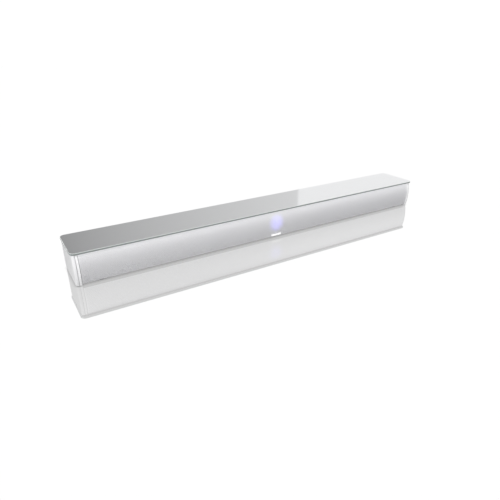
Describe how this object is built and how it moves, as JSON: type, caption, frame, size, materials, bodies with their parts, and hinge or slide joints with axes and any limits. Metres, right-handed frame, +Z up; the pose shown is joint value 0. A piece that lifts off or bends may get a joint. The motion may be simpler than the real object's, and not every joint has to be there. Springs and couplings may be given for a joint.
{
  "type": "soundbar",
  "caption": "Slim active soundbar with a silver glass top, bowed perforated grille between rounded end caps, hidden display, woofers and tweeters, rear keys and a connector bay.",
  "frame": {"origin": "floor level, under the middle of the glass top", "axes": "+X to the right seen from the front, -Y out of the grille, +Z up"},
  "size_m": [0.9, 0.103, 0.069],
  "materials": {
    "silver_glass": "polished, silver paint behind",
    "foam_tape": "matte foam",
    "cabinet_paint": "satin silver paint",
    "baffle_board": "black stained",
    "silver_lacquer": "silver-white lacquer",
    "bright_trim": "bright satin",
    "black_plastic": "moulded, fine grain",
    "silver_mesh": "satin silver, perforated",
    "white_enamel": "gloss",
    "foot_rubber": "matte",
    "switch_plastic": "satin",
    "plated_steel": "zinc plated",
    "circuit_board": "solder resist",
    "key_plastic": "moulded",
    "heat_sink_aluminium": "extruded",
    "core_laminate": "varnished",
    "display_lens": "tinted",
    "ribbon_plastic": "flat cable",
    "magnet_steel": "black powder coat",
    "surround_rubber": "satin",
    "cone_paper": "coated pulp",
    "dome_silk": "coated weave"
  },
  "bodies": {
    "cabinet": {"glass_top": "silver_glass", "glass_tape": "foam_tape", "top_board": "cabinet_paint", "bottom_board": "cabinet_paint", "rear_board": "cabinet_paint", "front_baffle": "baffle_board", "end_cap_left": "silver_lacquer", "end_cap_right": "silver_lacquer", "trim_strip_left": "bright_trim", "trim_strip_right": "bright_trim", "grille_frame": "black_plastic", "front_grille": "silver_mesh", "badge_plate": "white_enamel", "foot_front_left": "foot_rubber", "foot_rear_left": "foot_rubber", "foot_front_right": "foot_rubber", "foot_rear_right": "foot_rubber", "connector_tray": "black_plastic", "mains_inlet": "black_plastic", "rocker_housing": "black_plastic", "hdmi_socket": "plated_steel", "optical_socket": "black_plastic", "aux_jack": "black_plastic", "subwoofer_jack": "plated_steel", "io_board": "circuit_board", "key_board": "circuit_board", "wall_plate_left": "plated_steel", "wall_plate_right": "plated_steel", "reflex_port_left": "black_plastic", "reflex_port_right": "black_plastic", "amplifier_board": "circuit_board", "power_board": "circuit_board", "display_board": "circuit_board", "heat_sink": "heat_sink_aluminium", "transformer": "core_laminate", "display_module": "display_lens", "ir_receiver": "black_plastic", "display_ribbon": "ribbon_plastic", "woofer_frame_left_outer": "magnet_steel", "woofer_surround_left_outer": "surround_rubber", "woofer_frame_left_inner": "magnet_steel", "woofer_surround_left_inner": "surround_rubber", "tweeter_body_left": "magnet_steel", "woofer_frame_right_outer": "magnet_steel", "woofer_surround_right_outer": "surround_rubber", "woofer_frame_right_inner": "magnet_steel", "woofer_surround_right_inner": "surround_rubber", "tweeter_body_right": "magnet_steel"},
    "cone_left_outer": {"woofer_cone_left_outer": "cone_paper"},
    "cone_left_inner": {"woofer_cone_left_inner": "cone_paper"},
    "cone_right_outer": {"woofer_cone_right_outer": "cone_paper"},
    "cone_right_inner": {"woofer_cone_right_inner": "cone_paper"},
    "dome_left": {"tweeter_dome_left": "dome_silk"},
    "dome_right": {"tweeter_dome_right": "dome_silk"},
    "key_volume_up_button": {"key_volume_up": "key_plastic"},
    "key_volume_down_button": {"key_volume_down": "key_plastic"},
    "key_source_button": {"key_source": "key_plastic"},
    "key_power_button": {"key_power": "key_plastic"},
    "rocker": {"power_rocker": "switch_plastic"}
  },
  "joints": [
    {"name": "cone_left_outer_travel", "type": "slide", "parent": "cabinet", "child": "cone_left_outer", "axis": [0, -1, 0], "range_m": [-0.003, 0.003], "stiffness_N_per_m": 800},
    {"name": "cone_left_inner_travel", "type": "slide", "parent": "cabinet", "child": "cone_left_inner", "axis": [0, -1, 0], "range_m": [-0.003, 0.003], "stiffness_N_per_m": 800},
    {"name": "cone_right_outer_travel", "type": "slide", "parent": "cabinet", "child": "cone_right_outer", "axis": [0, -1, 0], "range_m": [-0.003, 0.003], "stiffness_N_per_m": 800},
    {"name": "cone_right_inner_travel", "type": "slide", "parent": "cabinet", "child": "cone_right_inner", "axis": [0, -1, 0], "range_m": [-0.003, 0.003], "stiffness_N_per_m": 800},
    {"name": "tweeter_dome_left_travel", "type": "slide", "parent": "cabinet", "child": "dome_left", "axis": [0, -1, 0], "range_m": [-0.0003, 0.0003], "stiffness_N_per_m": 1500},
    {"name": "tweeter_dome_right_travel", "type": "slide", "parent": "cabinet", "child": "dome_right", "axis": [0, -1, 0], "range_m": [-0.0003, 0.0003], "stiffness_N_per_m": 1500},
    {"name": "key_volume_up_press", "type": "slide", "parent": "cabinet", "child": "key_volume_up_button", "axis": [0, -1, 0], "range_m": [0, 0.0008], "stiffness_N_per_m": 1200},
    {"name": "key_volume_down_press", "type": "slide", "parent": "cabinet", "child": "key_volume_down_button", "axis": [0, -1, 0], "range_m": [0, 0.0008], "stiffness_N_per_m": 1200},
    {"name": "key_source_press", "type": "slide", "parent": "cabinet", "child": "key_source_button", "axis": [0, -1, 0], "range_m": [0, 0.0008], "stiffness_N_per_m": 1200},
    {"name": "key_power_press", "type": "slide", "parent": "cabinet", "child": "key_power_button", "axis": [0, -1, 0], "range_m": [0, 0.0008], "stiffness_N_per_m": 1200},
    {"name": "power_rocker_tilt", "type": "hinge", "parent": "cabinet", "child": "rocker", "pos_m": [0.054, 0.0246, 0.024], "axis": [1, 0, 0], "range_deg": [-16, 0]}
  ]
}
